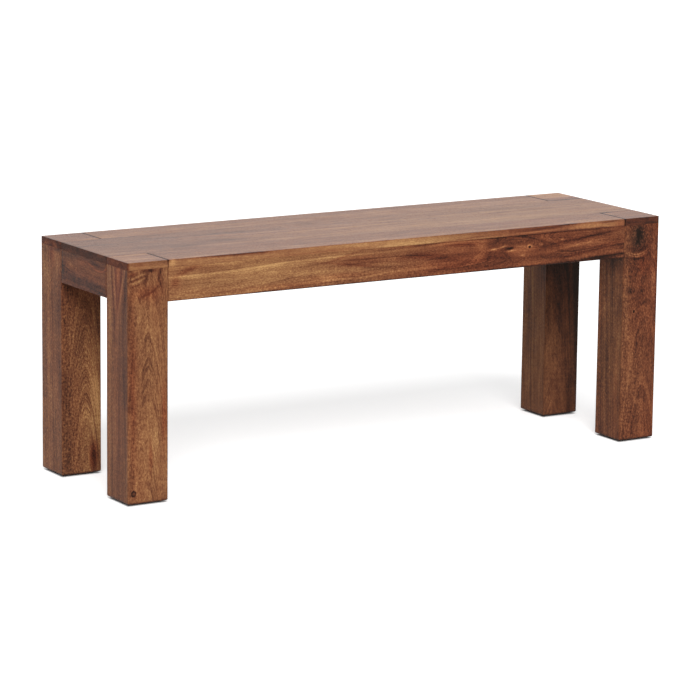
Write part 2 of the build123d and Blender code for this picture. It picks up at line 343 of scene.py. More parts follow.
# Cells to the metre along each axis, detail and roughness of every pattern. On wood X is along the grain.
CLOUDS = {
    "drift": ((2.4, 15, 15), 2.0, 0.5),
    "tremble": ((13, 80, 80), 3.0, 0.5),
    "late wood": ((6, 40, 40), 2.0, 0.5),
    "mottle": ((16, 48, 48), 2.0, 0.6),
    "streaks": ((7, 190, 190), 4.0, 0.6),
    "flecks": ((210, 520, 520), 2.0, 0.7),
    "pores": ((190, 1700, 1700), 1.0, 0.5),
    "ripple": ((170, 26, 26), 2.0, 0.5),
    "ripple patches": ((7, 18, 18), 1.0, 0.5),
    "warmth": ((3.5, 30, 30), 2.0, 0.5),
    "ragged edges": ((42, 42, 42), 3.0, 0.6),
    "plating": ((160, 160, 160), 3.0, 0.6),
    "drawn lines": ((90, 90, 2600), 2.0, 0.6),
    "nylon grain": ((1400, 1400, 1400), 3.0, 0.7),
    "scuffs": ((130, 130, 130), 3.0, 0.6),
}


def cloud(tree, place, pattern, colour=False):
    """Noise about 0.5, as a number or as a colour."""
    stretch, detail, rough = CLOUDS[pattern]
    scaled = vector(tree, "MULTIPLY", place, stretch)
    values = {"Vector": scaled, "Scale": 1.0, "Detail": detail, "Roughness": rough}
    return step(tree, "ShaderNodeTexNoise", values).outputs[1 if colour else 0]


def about_zero(tree, value):
    return number(tree, "SUBTRACT", value, 0.5)


def along_rings(tree, rings, scale, detail):
    """Noise that is the same all along a growth ring."""
    values = {"W": rings, "Scale": scale, "Detail": detail, "Roughness": 0.62}
    return step(tree, "ShaderNodeTexNoise", values, noise_dimensions="1D").outputs[0]


def shade(tree, value, stops):
    """Colours along a ramp, from (place, colour) stops."""
    made = step(tree, "ShaderNodeValToRGB", [value])
    ramp = made.color_ramp
    for place, colour in stops[1:-1]:
        ramp.elements.new(place)
    for element, (place, colour) in zip(ramp.elements, stops):
        element.position = place
        element.color = (*colour, 1.0)
    return made.outputs[0]


def group_tree(name, kind, inputs, outputs):
    """An empty node group with named inputs and outputs, as (kind, name, default)."""
    tree = bpy.data.node_groups.new(name, kind)
    for socket_kind, title, default in inputs:
        socket = tree.interface.new_socket(title, in_out="INPUT", socket_type="NodeSocket" + socket_kind)
        if default is not None:
            socket.default_value = default
    for socket_kind, title in outputs:
        tree.interface.new_socket(title, in_out="OUTPUT", socket_type="NodeSocket" + socket_kind)
    return tree, tree.nodes.new("NodeGroupInput").outputs, tree.nodes.new("NodeGroupOutput").inputs


def empty_material(name):
    material = bpy.data.materials.new(name)
    material.use_nodes = True
    material.node_tree.nodes.clear()
    return material, material.node_tree


def surface_of(tree, **values):
    """The one shader of a material, with every constant set on its own socket."""
    named = {name.replace("_", " "): value for name, value in values.items()}
    surface = step(tree, "ShaderNodeBsdfPrincipled", named)
    step(tree, "ShaderNodeOutputMaterial", {"Surface": surface.outputs[0]})


def object_place(tree):
    return step(tree, "ShaderNodeTexCoord").outputs["Object"]


def relief(tree, height, depth):
    """Bumps as deep as so many metres."""
    values = {"Height": height, "Strength": 1.0, "Distance": depth}
    return step(tree, "ShaderNodeBump", values).outputs[0]


# Hardwood

WOOD_TONES = (
    (0.00, (0.014, 0.007, 0.005)),
    (0.20, (0.052, 0.021, 0.014)),
    (0.40, (0.132, 0.048, 0.025)),
    (0.60, (0.240, 0.096, 0.044)),
    (0.80, (0.385, 0.183, 0.077)),
    (1.00, (0.62, 0.342, 0.14)),
)
FIGURE = {
    "Pith": (0, 0, 0.02), "Lean": (0, 0, 0.05), "Ring": 0.006, "Drift": 0.02, "Bands": 0.5, "Lines": 0.14,
    "Mottle": 0.4, "Streaks": 0.34, "Flecks": 0.8, "Ripple": 0.25, "Rough": 0.46,
}
SEED_APART = (0.731, 1.177, 1.913)
ring_tremble = 0.8  # in rings
late_line = 0.055  # half the width of a dark line, in the noise along the rings
LATE_WOOD = (0.35, 0.65)  # where in the noise dark lines begin to show, and where they are full
PORES = (0.6, 0.72)
RIPPLED = (0.42, 0.62)
fibre_slip = 0.05
pore_tone = -0.1
warmth_reach = 0.7
REDDER = (1.04, 0.74, 0.72, 1)
GREYER = (0.93, 1.02, 1.00, 1)


def figured_hardwood():
    """Growth rings round a leaning pith, with streaks, pores, flecks and cross-grain ripple.
    Place is in metres, with X along the grain."""
    inputs = [
        ("Vector", "Place", (0, 0, 0)),
        ("Float", "Tone", 0.6),
        ("Float", "Red", 0.0),
        ("Float", "Lift", 0.0),
        ("Float", "Seed", 1.0),
    ]
    for name, value in FIGURE.items():
        inputs.append(("Vector" if isinstance(value, tuple) else "Float", name, value))
    outputs = [("Color", "Colour"), ("Float", "Roughness"), ("Float", "Height")]
    tree, given, made = group_tree("figured hardwood", "ShaderNodeTree", inputs, outputs)

    apart = vector(tree, "MULTIPLY", given["Seed"], SEED_APART)
    place = vector(tree, "ADD", given["Place"], apart)
    along = split(tree, given["Place"])[0]

    drift = vector(tree, "SUBTRACT", cloud(tree, place, "drift", colour=True), (0.5, 0.5, 0.5))
    drift = vector(tree, "MULTIPLY", drift, merge(tree, 0.0, given["Drift"], given["Drift"]))
    leaning = vector(tree, "MULTIPLY", merge(tree, along, along, along), given["Lean"])
    from_pith = vector(tree, "SUBTRACT", vector(tree, "ADD", given["Place"], drift), given["Pith"])
    from_pith = vector(tree, "MULTIPLY", vector(tree, "SUBTRACT", from_pith, leaning), (0, 1, 1))
    reach = number(tree, "ADD", vector(tree, "LENGTH", from_pith), given["Lift"])
    rings = number(tree, "DIVIDE", reach, given["Ring"])
    rings = added(tree, about_zero(tree, cloud(tree, place, "tremble")), ring_tremble, rings)

    bands = about_zero(tree, along_rings(tree, number(tree, "ADD", rings, given["Seed"]), 0.35, 3.0))
    late = about_zero(tree, along_rings(tree, number(tree, "ADD", rings, 31.0), 0.8, 1.5))
    late = span(tree, number(tree, "ABSOLUTE", late), 0.0, late_line, 1.0, 0.0)
    late = times(tree, late, span(tree, cloud(tree, place, "late wood"), *LATE_WOOD))
    mottle = about_zero(tree, cloud(tree, place, "mottle"))

    sideways = merge(tree, times(tree, along, fibre_slip), reach, 0.0)
    fibre = vector(tree, "ADD", place, sideways)
    streaks = about_zero(tree, cloud(tree, fibre, "streaks"))
    flecks = about_zero(tree, cloud(tree, fibre, "flecks"))
    pores = span(tree, cloud(tree, fibre, "pores"), *PORES)
    ripple = about_zero(tree, cloud(tree, place, "ripple"))
    patches = span(tree, cloud(tree, place, "ripple patches"), *RIPPLED)
    ripple = times(tree, ripple, patches)

    tone = given["Tone"]
    parts = {"Bands": bands, "Mottle": mottle, "Streaks": streaks, "Flecks": flecks, "Ripple": ripple}
    for name, part in parts.items():
        tone = added(tree, part, given[name], tone)
    tone = number(tree, "SUBTRACT", tone, times(tree, late, given["Lines"]))
    tone = added(tree, pores, pore_tone, tone)
    colour = shade(tree, tone, WOOD_TONES)

    warmth = added(tree, about_zero(tree, cloud(tree, place, "warmth")), warmth_reach, given["Red"])
    redder = mixed(tree, 1.0, colour, REDDER, "MULTIPLY")
    colour = mixed(tree, number(tree, "MAXIMUM", warmth, 0.0), colour, redder)
    greyer = mixed(tree, 1.0, colour, GREYER, "MULTIPLY")
    cooler = number(tree, "MAXIMUM", times(tree, warmth, -1.0), 0.0)
    wire(tree, mixed(tree, cooler, colour, greyer), made["Colour"])

    rough = added(tree, streaks, -0.16, given["Rough"])
    wire(tree, added(tree, pores, 0.14, rough), made["Roughness"])
    height = added(tree, pores, -0.7, times(tree, streaks, 0.5))
    wire(tree, added(tree, flecks, 0.4, height), made["Height"])
    return tree


hardwood = figured_hardwood()

# Which axes of the bench run along a piece's grain, across its face and through it
GRAIN_ALONG_X = "XZY"
GRAIN_FLAT = "XYZ"
GRAIN_ALONG_Y = "YZX"
GRAIN_ALONG_Z = "ZXY"

ragged_edge = 0.01
ragged_share = 1.5  # of a small mark's least size
everywhere = 5.0


def mark(centre, size, tone, red=0.0, turn=(0, 0, 0), rise=0.0, crisp=False):
    """A soft patch of other colour: tone darkens it below 0, red warms it above 0.
    Rise curves it upwards, like a smile, by that much at its ends."""
    ragged = 0.0 if crisp else min(ragged_edge, ragged_share * min(size))
    return centre, size, turn, rise / size[2], ragged, tone, red


def marks_on(axis, level, deep, rows):
    """Marks on faces across one axis. A row has a mark's place along the other two, width and height in
    millimetres, tone and red in hundredths, turn in degrees and rise in millimetres. It may end early."""
    marks = []
    for row in rows:
        across, up, wide, high, tone, red, turn, rise = (*row, 0, 0, 0)[:8]
        across, up, wide, high, rise = (part / 1000 for part in (across, up, wide, high, rise))
        centre, size, turned_by = [across, up], [wide, high], [0, 0]
        for parts, part in ((centre, level), (size, deep), (turned_by, radians(turn))):
            parts.insert(axis, part)
        marks.append(mark(centre, size, tone / 100, red / 100, turned_by, rise))
    return marks


def on_front(*rows, y=-half_depth, deep=0.03):
    return marks_on(1, y, deep, rows)


def on_left(*rows, x=-half_length, deep=0.03):
    return marks_on(0, x, deep, rows)


def on_top(*rows, deep=0.02):
    return marks_on(2, seat_top, deep, rows)


def seam(x, tone=-0.34, wide=0.0012):
    """Finish gathered in a joint across the bench."""
    return mark((x, 0, 0), (wide, everywhere, everywhere), tone, crisp=True)


def top_seam(x, tone=-0.45, red=0.8, wide=0.0026, deep=0.004):
    return mark((x, 0, seat_top), (wide, everywhere, deep), tone, red, crisp=True)


def cap_seam(x, y, long, tone, red=0.5, wide=0.0044):
    """Finish gathered beside a cap's long joint."""
    return mark((x, y, 0), (long, wide, everywhere), tone, red, crisp=True)


def end_grain(x, tone=-0.27, red=0.6, deep=0.0025):
    return mark((x, 0, 0), (deep, everywhere, everywhere), tone, red, crisp=True)


def knot(centre, size, lift, heart=0.0, halo=0.0):
    """A knot that lifts the rings round it. It can have a dark heart and a lighter halo."""
    return centre, size, lift, heart, halo


def mark_share(tree, place, centre, size, turn=(0, 0, 0), rise=0.0):
    """1 in the middle of a mark, fading to 0 round it."""
    values = {"Vector": place, "Location": centre, "Rotation": turn, "Scale": size}
    local = step(tree, "ShaderNodeMapping", values, vector_type="TEXTURE").outputs[0]
    if rise:
        across = split(tree, local)[0]
        curve = times(tree, times(tree, across, across), -rise)
        local = vector(tree, "ADD", local, merge(tree, 0.0, 0.0, curve))
    far = vector(tree, "DOT_PRODUCT", local, local)
    return number(tree, "EXPONENT", times(tree, far, -1.0))


KNOT_HEART = (0.72, 0.9)  # where a knot's heart begins and where it is full
KNOT_HALO = (0.25, 0.55)
END_GRAIN = (0.6, 0.9)  # how squarely a face crosses the grain, where it begins to count as its end
end_gloss = 0.3  # of the gloss on other faces
grain_relief = 0.00022
lacquer_ior = 1.48
LACQUER_TINT = (1.0, 0.88, 0.74, 1.0)


def timber(
    node, axes, seed, tone=0.6, red=0.0, marks=(), knots=(), gloss=0.1, matt_ends=False, **figure,
):
    """The hardwood of one piece, satin lacquered. Its end grain drinks the lacquer and can be left matt."""
    low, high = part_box(node)
    material, tree = empty_material(node.replace("_", " ") + " timber")
    coordinates = step(tree, "ShaderNodeTexCoord").outputs
    place = coordinates["Object"]
    unrest = cloud(tree, place, "ragged edges", colour=True)
    unrest = vector(tree, "SUBTRACT", unrest, (0.5, 0.5, 0.5))

    tone_here, red_here, lift = tone, red, 0.0
    for centre, size, turn, rise, ragged, more_tone, more_red in marks:
        moved = vector(tree, "MULTIPLY_ADD", unrest, (ragged,) * 3, place) if ragged else place
        share = mark_share(tree, moved, centre, size, turn, rise)
        tone_here = added(tree, share, more_tone, tone_here)
        if more_red:
            red_here = added(tree, share, more_red, red_here)
    for centre, size, rise, heart, halo in knots:
        share = mark_share(tree, place, centre, size)
        lift = added(tree, share, rise, lift)
        core = span(tree, share, *KNOT_HEART)
        tone_here = added(tree, core, -heart, tone_here)
        ring = times(tree, span(tree, share, *KNOT_HALO), number(tree, "SUBTRACT", 1.0, core))
        tone_here = added(tree, ring, halo, tone_here)

    centred = step(tree, "ShaderNodeMapping", {"Vector": place, "Location": -(low + high) / 2}).outputs[0]
    parts = split(tree, centred)
    grain_place = merge(tree, *(parts["XYZ".index(axis)] for axis in axes))
    settings = {"Place": grain_place, "Tone": tone_here, "Red": red_here, "Lift": lift, "Seed": seed}
    settings.update(FIGURE)
    settings.update({name.capitalize(): value for name, value in figure.items()})
    wood = step(tree, "ShaderNodeGroup", settings, node_tree=hardwood)
    shine = gloss
    if matt_ends:
        end_on = number(tree, "ABSOLUTE", split(tree, coordinates["Normal"])["XYZ".index(axes[0])])
        shine = span(tree, end_on, *END_GRAIN, gloss, end_gloss * gloss)
    surface_of(
        tree,
        Base_Color=wood.outputs["Colour"],
        Roughness=wood.outputs["Roughness"],
        Normal=relief(tree, wood.outputs["Height"], grain_relief),
        IOR=lacquer_ior,
        Specular_IOR_Level=shine,
        Specular_Tint=LACQUER_TINT,
    )
    return material


def dress(mesh, material):
    mesh.materials.clear()
    mesh.materials.append(material)


# Steel and nylon

def plated_steel(name, colour, rough):
    """Steel with cloudy plating over drawn lines."""
    material, tree = empty_material(name)
    place = object_place(tree)
    patches = cloud(tree, place, "plating")
    height = added(tree, cloud(tree, place, "drawn lines"), 0.5, patches)
    darker = tuple(0.72 * part for part in colour)
    surface_of(
        tree,
        Base_Color=mixed(tree, patches, (*darker, 1), (*colour, 1)),
        Roughness=added(tree, patches, 0.22, rough),
        Normal=relief(tree, height, 0.00003),
        Metallic=1.0,
    )
    return material


def matt_nylon():
    material, tree = empty_material("brown nylon")
    place = object_place(tree)
    scuff = cloud(tree, place, "scuffs")
    surface_of(
        tree,
        Base_Color=mixed(tree, scuff, (0.03, 0.018, 0.013, 1), (0.075, 0.048, 0.036, 1)),
        Roughness=added(tree, scuff, 0.25, 0.42),
        Normal=relief(tree, cloud(tree, place, "nylon grain"), 0.00005),
    )
    return material


zinc = plated_steel("zinc plate", (0.62, 0.62, 0.6), 0.28)
bolt_zinc = plated_steel("zinc plated bolts", (0.66, 0.66, 0.64), 0.22)
yellow_zinc = plated_steel("yellow passivated screws", (0.66, 0.58, 0.38), 0.22)
nylon = matt_nylon()


# Legs and their caps

# Painted shade on the legs' rounded foot edges, which face the floor
foot_painted_shade = mark((0, 0, 0.002), (everywhere, everywhere, 0.0036), -0.32, crisp=True)
edge_mark_y = -0.1775  # before the seat's front edge, so that a mark there leaves the top alone

LEG_MARKS = {}
LEG_MARKS["front_left"] = on_front(
    (-558, 80, 60, 120, 10),
    (-558, 370, 60, 60, 4.5),
    (-558, 439, 16, 3.6, -20, 50),
    (-552, 438.5, 6, 4.5, -22, 20),
    (-590, 433, 10, 4, -14, 60),
    (-581, 438.5, 6, 2.2, 10),
    (-588, 426.2, 9, 1.3, 22, -10, -24),
    (-571, 431.5, 10, 1.3, 19, -10, -8, -2),
    (-590, 416.5, 9, 1.3, 21, -10, -6, 2),
    (-573, 421.5, 12, 1.3, 19, -10, -24),
    (-582, 423.5, 16, 1.6, -24, 40, -16),
    (-584, 411.5, 14, 1.4, -20, 40, -14),
    (-562, 424, 3, 11, -26, 40, 14),
    (-534, 430, 2.2, 18, -26, 30, 18),
    (-532, 412, 2.2, 16, -22, 30, -14),
    (-550, 398, 22, 2, -20, 40, -30, 4),
    (-562, 396, 30, 16, -5, 70),
    (-546, 270, 18, 60, 5, -20),
    (-542, 125, 10, 22, 8, -10),
    (-524, 170, 5, 50, -8, 90),
    (-552, 85, 4, 30, -12, 70),
    (-590, 200, 6, 160, -6, 50),
    (-516.6, 200, 1.4, 200, -20, 60),
) + on_left(
    (-133, 220, 60, 300, -7, 15),
    (-104, 280, 9, 260, 12),
    (-112, 120, 2.2, 130, -20, 20),
    (-126, 160, 2.4, 100, 12, 10),
    (-138, 415, 18, 50, 2, 90, 6),
    (-151, 402, 3.4, 40, 22, 0, 17),
    (-144, 404, 2.4, 38, -20, 80, 14),
    (-123, 400, 3, 44, 15, 0, -7),
    (-129, 404, 2.2, 38, -18, 80, -5),
    (-136, 428, 4.4, 28, 18, 30, 4),
    (-117, 390, 2.4, 70, -22, 50, -6),
    (-164, 400, 5, 60, -20, 20, 6),
    (-160, 230, 12, 180, -17, -10),
    (-141, 180, 4, 150, -14),
)
LEG_MARKS["rear_left"] = on_front(
    (-532.5, 35, 7.2, 27, -36, 160),
    (-542.5, 34, 2.2, 24, 16),
    (-528, 130, 13, 70, 17),
    (-540, 150, 30, 110, 16, 10),
    (-590, 160, 20, 200, -20, -10),
    # Painted shade at the top of this face, under the seat
    (-560, 400, 60, 80, -13, 50),
    y=cap_inner_y,
) + on_left(
    (106, 410, 10, 34, 17, -10, 4),
    (122, 424, 8, 16, 14, 10, 10),
    (104, 440, 20, 5, -30, 10, -8),
    # Painted shade along the rear arris
    (174.5, 240, 1.6, 260, -34, 20),
    (132, 430, 12, 22, -10, 70),
    (133, 220, 60, 300, 2, 20),
    (160, 250, 10, 200, -10, -20),
    (112, 150, 10, 160, 6, 20),
    (146, 200, 4, 150, 12, 10),
    (128, 260, 3, 160, -14, 30),
    (104, 330, 3, 80, -10, 30),
)
LEG_MARKS["front_right"] = on_front(
    (550, 416, 18, 23, -24, -100),
    (550.5, 425, 7.5, 16, -30, -20),
    (558, 360, 60, 20, -5, 20),
    (548, 390, 26, 4, -16, 20, 0, 7),
    (547, 381.5, 23, 1.4, 42, -10, 0, 6),
    (547, 377, 22, 1.4, 36, -10, 0, 6),
    (547, 372, 24, 2.4, -24, 20, 0, 4),
    (533, 308.3, 8.5, 7, -20, -20),
    (563, 305.7, 7, 7, -20, -20),
    (566.6, 329.4, 9, 8.5, -18, -20),
    (570, 284.5, 6, 6, -18, -20),
    (589, 340, 4, 80, 14, -10),
    (560, 120, 50, 120, 9, -30),
) + on_left(
    (-133, 220, 80, 260, 12, -80),
    (-130, 372, 50, 14, -16, -40),
    (-116, 170, 14, 60, -14, -30),
    (-98, 280, 5, 120, 14, 20),
    (-136, 300, 6, 90, -12, -40),
    (-158, 120, 5, 100, 10, 30),
    x=cap_inner_x,
)
LEG_MARKS["rear_right"] = on_front(
    # Painted shade at the top of this face, under the seat
    (558, 430, 90, 120, -90, 40),
    (592, 200, 13, 240, -26, -20),
    y=cap_inner_y,
) + on_left(
    (133, 220, 80, 260, 14, -50),
    (150, 230, 6, 150, -12, -20),
    (104, 160, 6, 90, 10, 30),
    x=cap_inner_x,
)
LEG_KNOTS = {
    "front_left": [
        knot((-0.588, -0.175, 0.0234), (0.0058, 0.02, 0.0062), 0.002, 0.1, -0.46),
        knot((-0.572, -0.175, 0.43), (0.03, 0.05, 0.026), 0.007),
    ],
    "front_right": [
        knot((0.55, -0.175, 0.416), (0.024, 0.04, 0.034), 0.01),
        knot((0.5437, -0.175, 0.2656), (0.0056, 0.02, 0.006), 0.003, 0.5, 0.16),
    ],
}
LEG_WOOD = {
    "front_left": dict(
        seed=3.0, tone=0.6, red=0.1, pith=(0, 0, 0.02), lean=(0, 0, 0.048), ring=0.001, drift=0.005,
        bands=0.26, lines=0.2, mottle=0.27, streaks=0.38, flecks=0.95,
    ),
    "rear_left": dict(
        seed=5.0, tone=0.59, red=0.02, pith=(0, 0.009, 0.02), lean=(0, 0, 0.055), ring=0.0006, drift=0.005,
        bands=0.46, lines=0.3, flecks=1.3,
    ),
    "front_right": dict(
        seed=8.0, tone=0.41, red=0.8, pith=(0, 0.012, 0.06), lean=(0, 0, 0.05), ring=0.0022, drift=0.01,
        bands=0.42, lines=0.14, flecks=1.15,
    ),
    "rear_right": dict(
        seed=11.0, tone=0.445, red=0.2, pith=(0, -0.02, 0.03), lean=(0, 0, 0.05), ring=0.003, drift=0.012,
        bands=0.45, lines=0.16, flecks=0.7,
    ),
}

# A hollow's face, middle, size, depth and how far out its rim lies, by its size
LEG_PITS = {
    "front_left": [("front", (-0.588, -0.175, 0.0234), (0.0032, 1.0, 0.0034), 0.00045, 1.0)],
    "front_right": [("front", (0.547, -0.175, 0.419), (0.007, 1.0, 0.015), 0.0005, 0.0)],
}
CAP_MARKS = {
    "front_left": [
        *on_front((-575, 449, 12, 5, -10, 30), y=-0.1765, deep=0.004),
        *on_front((-550, 449, 60, 20, 12), y=edge_mark_y, deep=0.005),
    ],
    "rear_right": [cap_seam(0.558, cap_inner_y, everywhere, -0.55)],
    "front_right": [
        cap_seam(0.526, -cap_inner_y, 0.02, -0.45),
        *on_front((558, 449, 80, 20, -39, 90), y=edge_mark_y, deep=0.005),
    ],
}
CAP_FIGURE = dict(
    red=0.1, pith=(0, 0.01, -0.05), lean=(0, 0.02, 0), ring=0.005, lines=0.12, streaks=0.35, flecks=0.5,
    gloss=0.135, rough=0.4,
)
CAP_WOOD = {
    "front_left": dict(seed=21.0, tone=0.64),
    "front_right": dict(seed=23.0, tone=0.58),
    "rear_right": dict(seed=27.0, tone=0.65),
    "rear_left": dict(seed=29.0, tone=0.585),
}

for corner, (across, along) in CORNERS.items():
    name = "leg_" + corner
    sides = ("left", "right", "front", "rear")
    edges = [(x, y, leg_arris) for x in ("left", "right") for y in ("front", "rear")]
    edges += [(side, "under", foot_edge) for side in sides] + [(side, "top", joint_edge) for side in sides]
    leg = sanded_timber(name, edges, sides, LEG_PITS.get(corner, ()))
    marks = [foot_painted_shade] + LEG_MARKS[corner]
    knots = LEG_KNOTS.get(corner, ())
    dress(leg.data, timber(name, GRAIN_ALONG_Z, marks=marks, knots=knots, **LEG_WOOD[corner]))

    name = "leg_cap_" + corner
    arrises = ((across, along), (OPPOSITE[across], along), (across, OPPOSITE[along]))
    edges = [(first, second, leg_arris) for first, second in arrises]
    edges += [(side, "top", seat_edge) for side in sides] + [(side, "under", joint_edge) for side in sides]
    cap = sanded_timber(name, edges, ("top", across, along))
    inner_end, outer_end = SIGN[across] * cap_inner_x, SIGN[across] * half_length
    marks = [seam(inner_end), top_seam(inner_end), end_grain(outer_end), *CAP_MARKS.get(corner, ())]
    wood = {**CAP_FIGURE, **CAP_WOOD[corner]}
    dress(cap.data, timber(name, GRAIN_FLAT, marks=marks, matt_ends=True, **wood))

# Seat

sapwood = on_front(
    (-30, 448, 220, 30, 25),
    (290, 448, 140, 20, -23, 80),
    (-420, 446, 160, 30, 7, 10),
    (430, 448.5, 60, 5, 30, 10),
    (490, 446, 30, 3, 16, 10),
    (-507, 450, 8, 10, 24),
    (-400, 455, 85, 2.4, -40, 50),
    (-345, 453.5, 50, 2.2, -26, 50),
    (-180, 444, 120, 4, -14, 30, -1),
    (0, 455.5, 400, 1.2, -26, 30),
    (120, 443.2, 50, 1.4, -26, 30, -3),
    (320, 450.5, 50, 2, -20, 30, -2),
    (300, 445.2, 80, 1.6, 26, 0, -1),
    (430, 441.8, 90, 1.4, -40, 40),
    (378, 454.5, 24, 1.6, -50, 30, -3),
    (478, 452.5, 30, 1.4, -26, 40, -4),
    (505, 447, 20, 6, -12, 70),
    y=edge_mark_y, deep=0.006,
)
# Dark streaks in the top, and painted sheen: the first row darkens the top's left, the last pales and greys
# its right
seat_streaks_and_painted_sheen = on_top(
    (-500, 0, 280, 400, -12, -10),
    (-427, -58, 50, 12, -12, -20, 4),
    (-267, 43, 60, 10, -9, -20, -3),
    (50, -19, 50, 8, -10, -20, -3),
    (300, 50, 160, 14, -6, 0, -3),
    (-109, -6, 120, 6, 6),
    (330, 0, 300, 400, 3, -40),
)
joints = [seam(-cap_inner_x), seam(cap_inner_x), top_seam(-cap_inner_x), top_seam(cap_inner_x)]
cap_seams = [cap_seam(0.56, cap_inner_y, 0.04, -0.55), cap_seam(0.526, -cap_inner_y, 0.02, -0.45)]
middle_marks = [end_grain(-half_length), end_grain(half_length)] + seat_streaks_and_painted_sheen + cap_seams
SEAT_FIGURE = dict(
    pith=(0, 0.02, -0.05), lean=(0, 0.01, 0), ring=0.006, bands=0.3, lines=0.07, mottle=0.3,
    streaks=0.25, flecks=0.3, ripple=0.2, gloss=0.165, rough=0.42,
)
STAVE_WOOD = {
    "seat_stave_front": dict(seed=31.0, tone=0.6, marks=joints + sapwood, flecks=0.55, streaks=0.35),
    "seat_stave_rear": dict(seed=41.0, tone=0.61, red=-0.2, marks=joints),
    "seat_stave_middle_1": dict(seed=33.0, tone=0.62, red=-0.2, marks=middle_marks, matt_ends=True),
    "seat_stave_middle_2": dict(seed=37.0, tone=0.6, red=-0.2, marks=middle_marks, matt_ends=True),
}

for name, wood in STAVE_WOOD.items():
    side = name.split("_")[2]
    ends = ("left", "right")
    if side == "middle":
        edges = [(end, "top", seat_edge) for end in ends] + [(end, "under", joint_edge) for end in ends]
    else:
        edges = [(side, "top", seat_edge), (side, "under", joint_edge)]
        edges += [(end, face, seat_edge) for end in ends for face in ("top", side)]
    stave = sanded_timber(name, edges, ("top", side, *ends))
    dress(stave.data, timber(name, GRAIN_FLAT, **{**SEAT_FIGURE, **wood}))

# Rails

front_rail_marks = [seam(-cap_inner_x, -0.12), seam(cap_inner_x, -0.12)] + on_front(
    # Painted shade along the rail's rounded lower edge, which faces the floor
    (-100, 377.4, 700, 1.8, -42, 30),
    (300, 440.4, 220, 1.2, -30, 30),
    (-320, 410, 300, 100, 17, -20),
    (330, 410, 300, 100, -16, 60),
    (-478, 431, 22, 4.5, -22, 50, -20),
    (-502, 410, 10, 10, -16, 50, 20),
    (-250, 385, 120, 5, -8, 40),
    (-105, 420, 60, 9, -9, 50),
    (-142, 430, 38, 2, -16, 40, -13),
    (-115, 413, 60, 2, -16, 40, 8),
    (-150, 394, 70, 6, -10, 40),
    (36, 418, 50, 4.8, -15, 50, 4, -3),
    (110, 408, 110, 30, -6, 40),
    (130, 433, 40, 3.5, -18, 40, 3),
    (130, 395, 80, 3, -16, 40, -6),
    (262, 417, 45, 7.5, 12),
    (300, 403, 50, 6, 14, 0, -4),
    (386, 422.5, 55, 2, -22, 30, -5),
    (447, 428.5, 60, 2.6, -24, 20, -7),
    (400, 412, 80, 2.2, 16, 0, -7),
    (420, 396, 95, 2.2, -17, 30, -7),
    (360, 388, 90, 2, 10, 10, -5),
    (470, 408, 45, 2.2, -20, 30, -6),
    (465, 382.5, 55, 4.5, -34, 0, -1),
    (505, 415, 14, 22, -10),
    (202, 418.4, 10, 2, 55, -10, -4),
    (224, 421.5, 10, 1.8, 45, -10, -8),
    (242, 412.5, 10, 1.6, 40, -10, -4),
    (314, 419.5, 5, 2, 40, -10),
    (270, 401, 5, 1.8, 34, -10),
    (364, 426, 4, 1.8, 40, -10),
    (240, 417.2, 9, 2.6, -60, 0, -4),
)
left_end_rail_marks = on_left(
    (55, 437, 40, 10, -26, -30),
    (87, 412, 6, 30, -20, -30),
    (52, 419, 12, 5, 20, -10, 8),
    (5, 430, 18, 6, 12, 40, 6),
    (-30, 429, 24, 2.2, 22, 70, 14),
    (-66, 423.5, 18, 2.2, 24, 70, -2),
    (-86, 429, 10, 2.2, 20, 60, -24),
    (-55, 432, 22, 2.5, -16, 40, 4),
    (0, 390, 80, 12, -8, 10),
)
RAIL_FIGURE = dict(pith=(0, 0.01, 0.04), lean=(0, 0.04, 0), ring=0.0035, bands=0.6, lines=0.18)
RAIL_WOOD = {
    "front_rail": dict(
        axes=GRAIN_ALONG_X, seed=51.0, tone=0.6, red=0.15, pith=(0, 0.005, 0.035), lean=(0, 0.03, 0),
        ring=0.0026, drift=0.016, bands=0.62, lines=0.22, mottle=0.5, flecks=0.85, ripple=0.16,
        marks=front_rail_marks,
        knots=[
            knot((0.262, -0.175, 0.416), (0.08, 0.06, 0.022), 0.01),
            knot((0.2865, -0.175, 0.4166), (0.0066, 0.03, 0.0054), 0.003, 0.4, 0.17),
        ],
    ),
    "rear_rail": dict(axes=GRAIN_ALONG_X, seed=57.0, tone=0.56, red=0.2, **RAIL_FIGURE),
    "left_end_rail": dict(
        axes=GRAIN_ALONG_Y, seed=61.0, tone=0.385, red=0.4, pith=(0, 0.01, 0.04), lean=(0, 0.05, 0),
        ring=0.003, drift=0.02, bands=0.5, lines=0.16, marks=left_end_rail_marks,
        knots=[knot((-0.6, -0.05, 0.438), (0.045, 0.05, 0.022), 0.008)],
    ),
    "right_end_rail": dict(axes=GRAIN_ALONG_Y, seed=67.0, tone=0.46, red=0.2, **RAIL_FIGURE),
}

for name, wood in RAIL_WOOD.items():
    outer = name.split("_")[0]
    ends = ("left", "right") if outer in ("front", "rear") else ("front", "rear")
    edges = [(outer, "under", rail_edge), (OPPOSITE[outer], "under", rail_edge), (outer, "top", joint_edge)]
    edges += [(end, outer, seat_edge) for end in ends]
    rail = sanded_timber(name, edges, (outer, "under"))
    dress(rail.data, timber(name, **wood))

# Under the seat

inner_wood = dict(tone=0.68, red=-0.1, gloss=0.1, rough=0.6)
dress(nodes["centre_brace"].data, timber("centre_brace", GRAIN_ALONG_Y, 71.0, **inner_wood))
for count, corner in enumerate(CORNERS):
    name = "seat_cleat_" + corner
    dress(nodes[name].data, timber(name, GRAIN_ALONG_X, 73.0 + 2 * count, **inner_wood))
    dress(nodes["corner_plate_" + corner].data, zinc)
    dress(nodes["foot_glide_" + corner].data, nylon)
for name, axes in (("cap_dowels", GRAIN_ALONG_Z), ("brace_dowels", GRAIN_ALONG_Y)):
    beech = timber(name, axes, 83.0, tone=0.95, red=-0.5, bands=0.1, lines=0.03, rough=0.6)
    dress(nodes[name].data, beech)
dress(nodes["foot_glide_nails"].data, yellow_zinc)


# Fasteners

